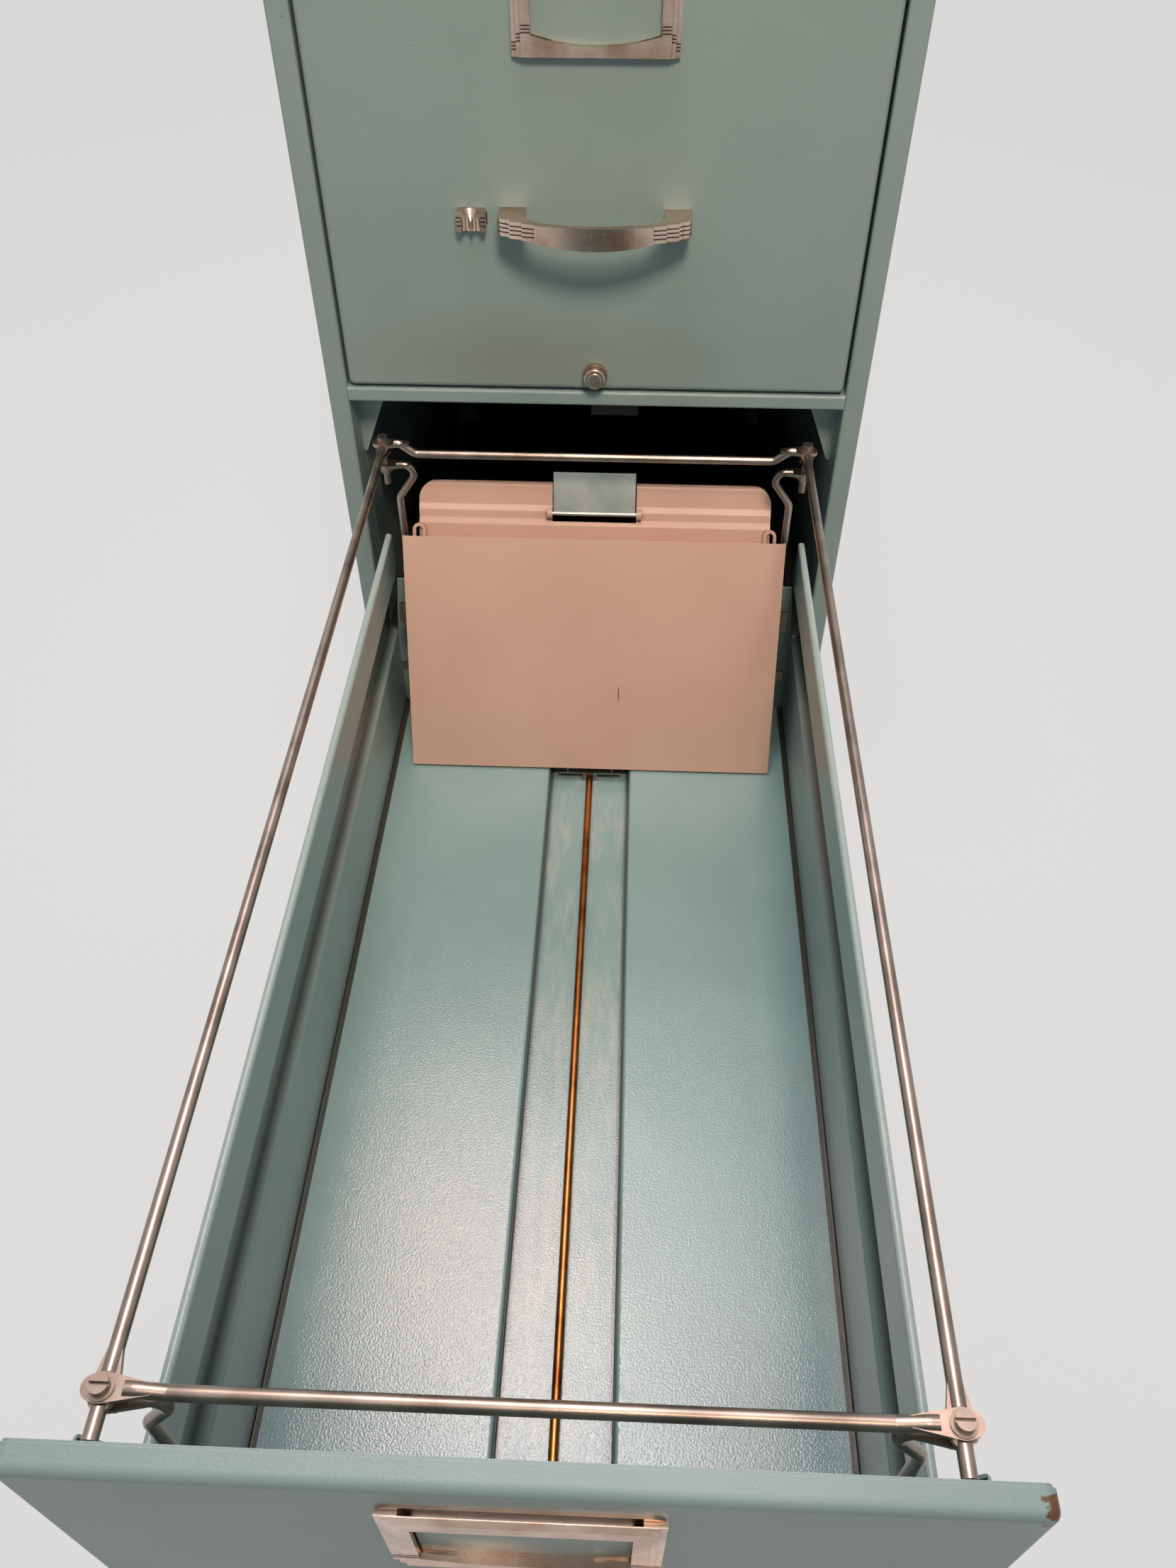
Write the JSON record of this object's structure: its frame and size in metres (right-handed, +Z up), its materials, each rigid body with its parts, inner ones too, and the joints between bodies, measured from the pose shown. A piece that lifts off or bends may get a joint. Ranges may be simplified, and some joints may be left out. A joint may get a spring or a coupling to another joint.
{
  "type": "filing cabinet",
  "caption": "Letter-size steel filing cabinet with full-extension drawers, pulls, label holders, thumb latches, a plunger lock, sliding followers and a wire frame for hanging folders.",
  "frame": {"origin": "on the floor, under the middle of the footprint with the lower drawer pulled out", "axes": "+X to the right as seen from the front, +Y from the drawer fronts into the case, +Z up"},
  "size_m": [0.381, 1.447, 0.7366],
  "materials": {
    "teal_enamel": "semi-gloss baked enamel",
    "tan_enamel": "semi-gloss baked enamel",
    "black_enamel": "flat black enamel",
    "bronzed_nickel": "satin bronzed nickel",
    "zinc_wire": "zinc plated wire",
    "bright_steel": "nickel plate",
    "copper_rod": "copper plated rod",
    "runner_steel": "bare cold rolled steel"
  },
  "bodies": {
    "case": {"left_side": "teal_enamel", "right_side": "teal_enamel", "top_panel": "teal_enamel", "back_panel": "teal_enamel", "base_pan": "black_enamel", "kick_plate": "teal_enamel", "bottom_rail": "teal_enamel", "cross_rail": "teal_enamel", "top_rail": "teal_enamel", "front_uprights": "teal_enamel", "rear_uprights": "teal_enamel", "corner_gussets": "teal_enamel", "upper_case_runners": "runner_steel", "lower_case_runners": "runner_steel", "lock_keeper": "black_enamel"},
    "upper_drawer": {"upper_front": "teal_enamel", "upper_front_liner": "teal_enamel", "upper_front_stiles": "teal_enamel", "upper_drawer_left_side": "teal_enamel", "upper_drawer_right_side": "teal_enamel", "upper_bottom": "teal_enamel", "upper_back": "teal_enamel", "upper_drawer_runners": "runner_steel", "upper_guide_rod": "copper_rod", "upper_handle": "bronzed_nickel", "upper_label_holder": "bronzed_nickel", "lock_barrel": "bronzed_nickel"},
    "upper_bars": {"upper_slide_bars": "runner_steel"},
    "upper_latch": {"upper_thumb_latch": "bronzed_nickel"},
    "upper_follower": {"upper_follower_front": "tan_enamel", "upper_follower_back": "tan_enamel", "upper_follower_carriage": "runner_steel", "upper_follower_clips": "runner_steel"},
    "upper_release": {"upper_follower_release": "bright_steel"},
    "lower_drawer": {"lower_front": "teal_enamel", "lower_front_liner": "teal_enamel", "lower_front_stiles": "teal_enamel", "lower_drawer_left_side": "teal_enamel", "lower_drawer_right_side": "teal_enamel", "lower_bottom": "teal_enamel", "lower_back": "teal_enamel", "lower_drawer_runners": "runner_steel", "lower_guide_rod": "copper_rod", "lower_handle": "bronzed_nickel", "lower_label_holder": "bronzed_nickel", "frame_side_rods": "zinc_wire", "frame_front_rod": "zinc_wire", "frame_rear_rod": "zinc_wire", "frame_legs": "zinc_wire", "frame_fasteners": "zinc_wire"},
    "lower_bars": {"lower_slide_bars": "runner_steel"},
    "lower_latch": {"lower_thumb_latch": "bronzed_nickel"},
    "lower_follower": {"lower_follower_front": "tan_enamel", "lower_follower_back": "tan_enamel", "lower_follower_carriage": "runner_steel", "lower_follower_clips": "runner_steel"},
    "lower_release": {"lower_follower_release": "bright_steel"},
    "lock_plunger": {"lock_plunger": "bronzed_nickel"},
    "lock_bolt": {"lock_bolt": "runner_steel"}
  },
  "joints": [
    {"name": "upper_drawer_slide", "type": "slide", "parent": "case", "child": "upper_drawer", "axis": [0, -1, 0], "range_m": [0, 0.69]},
    {"name": "upper_bars_slide", "type": "slide", "parent": "case", "child": "upper_bars", "axis": [0, -1, 0], "range_m": [0, 0.345]},
    {"name": "upper_latch_slide", "type": "slide", "parent": "upper_drawer", "child": "upper_latch", "axis": [1, 0, 0], "range_m": [0, 0.006], "stiffness_N_per_m": 300},
    {"name": "upper_follower_slide", "type": "slide", "parent": "upper_drawer", "child": "upper_follower", "axis": [0, -1, 0], "range_m": [0, 0.5]},
    {"name": "upper_release_hinge", "type": "hinge", "parent": "upper_follower", "child": "upper_release", "pos_m": [0, 0.6847, 0.59879], "axis": [1, 0, 0], "range_deg": [0, 12], "stiffness_Nm_per_rad": 0.4},
    {"name": "lower_drawer_slide", "type": "slide", "parent": "case", "child": "lower_drawer", "axis": [0, -1, 0], "range_m": [-0.69, 0]},
    {"name": "lower_bars_slide", "type": "slide", "parent": "case", "child": "lower_bars", "axis": [0, -1, 0], "range_m": [-0.345, 0]},
    {"name": "lower_latch_slide", "type": "slide", "parent": "lower_drawer", "child": "lower_latch", "axis": [1, 0, 0], "range_m": [0, 0.006], "stiffness_N_per_m": 300},
    {"name": "lower_follower_slide", "type": "slide", "parent": "lower_drawer", "child": "lower_follower", "axis": [0, -1, 0], "range_m": [0, 0.5]},
    {"name": "lower_release_hinge", "type": "hinge", "parent": "lower_follower", "child": "lower_release", "pos_m": [0, -0.0053, 0.29459], "axis": [1, 0, 0], "range_deg": [0, 12], "stiffness_Nm_per_rad": 0.4},
    {"name": "lock_plunger_slide", "type": "slide", "parent": "upper_drawer", "child": "lock_plunger", "axis": [0, 1, 0], "range_m": [0, 0.005], "stiffness_N_per_m": 600, "springref_m": -0.004},
    {"name": "lock_bolt_slide", "type": "slide", "parent": "upper_drawer", "child": "lock_bolt", "axis": [0, 0, -1], "range_m": [0, 0.009]}
  ],
  "couplings": [
    {"joint": "upper_bars_slide", "follows": "upper_drawer_slide", "ratio": 0.5},
    {"joint": "lower_bars_slide", "follows": "lower_drawer_slide", "ratio": 0.5},
    {"joint": "lock_bolt_slide", "follows": "lock_plunger_slide", "ratio": 1.8}
  ]
}
